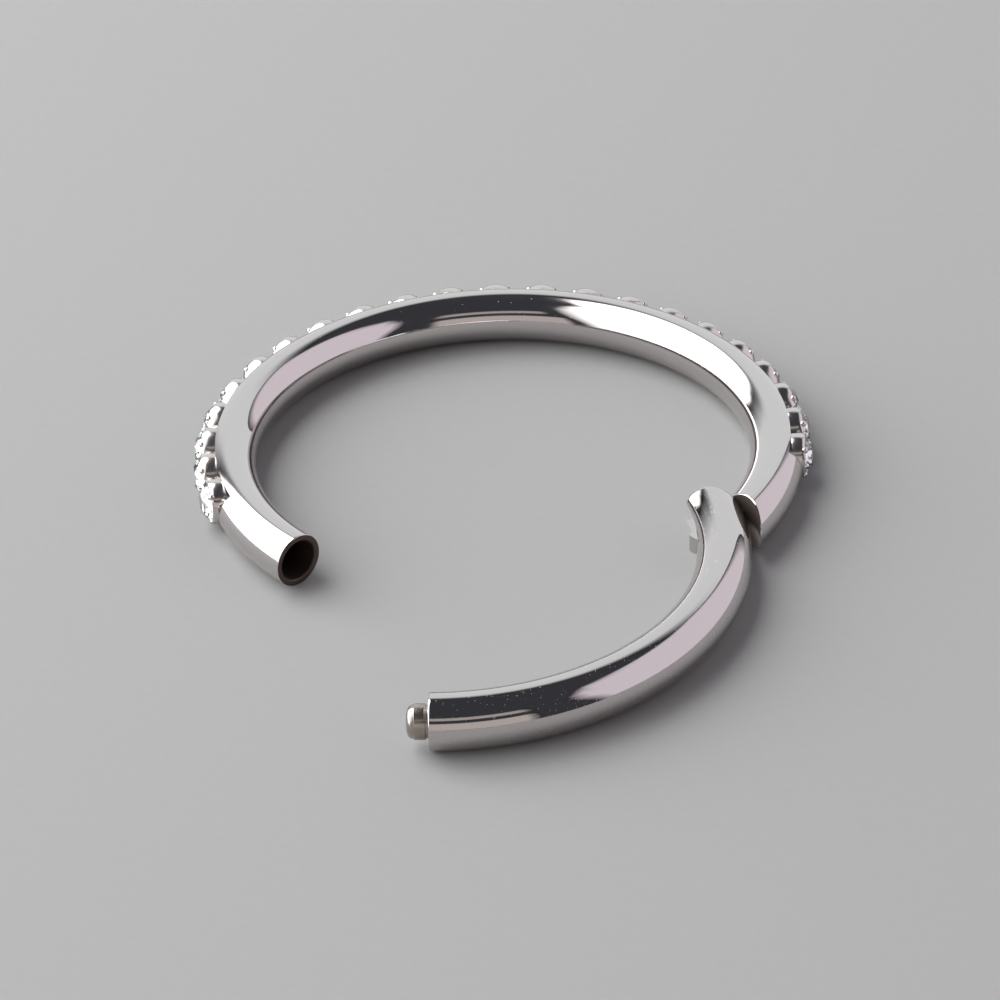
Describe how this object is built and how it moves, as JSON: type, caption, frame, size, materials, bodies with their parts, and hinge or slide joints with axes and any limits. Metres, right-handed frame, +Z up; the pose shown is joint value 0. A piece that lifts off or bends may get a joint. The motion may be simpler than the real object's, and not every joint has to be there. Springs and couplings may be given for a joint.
{
  "type": "hinged segment ring",
  "caption": "Open round-wire hoop of polished steel with a hinged segment, a latch pin that enters a bored tube end, and a row of clear stones round its outer side.",
  "frame": {"origin": "centre of the closed hoop, on the surface that it lies on", "axes": "+Z up along the hoop's own axis, -Y towards the side that opens, +X towards the hinge"},
  "size_m": [0.0138, 0.0177, 0.0012],
  "materials": {
    "polished_steel": "mirror-polished surgical steel",
    "pin_steel": "turned steel, left duller than the wire",
    "clear_stone": "clear cut stone"
  },
  "bodies": {
    "hoop": {"ring_body": "polished_steel", "stone_01": "clear_stone", "stone_02": "clear_stone", "stone_03": "clear_stone", "stone_04": "clear_stone", "stone_05": "clear_stone", "stone_06": "clear_stone", "stone_07": "clear_stone", "stone_08": "clear_stone", "stone_09": "clear_stone", "stone_10": "clear_stone", "stone_11": "clear_stone", "stone_12": "clear_stone", "stone_13": "clear_stone", "stone_14": "clear_stone", "stone_15": "clear_stone", "stone_16": "clear_stone", "stone_17": "clear_stone", "stone_18": "clear_stone", "stone_19": "clear_stone", "stone_20": "clear_stone", "stone_21": "clear_stone", "stone_22": "clear_stone"},
    "segment": {"segment": "polished_steel", "latch_pin": "pin_steel", "hinge_pin": "polished_steel"}
  },
  "joints": [
    {"name": "segment_hinge", "type": "hinge", "parent": "hoop", "child": "segment", "pos_m": [0.00428, -0.00379, 0.0006], "axis": [0, 0, 1], "range_deg": [-44.5, 8]}
  ]
}
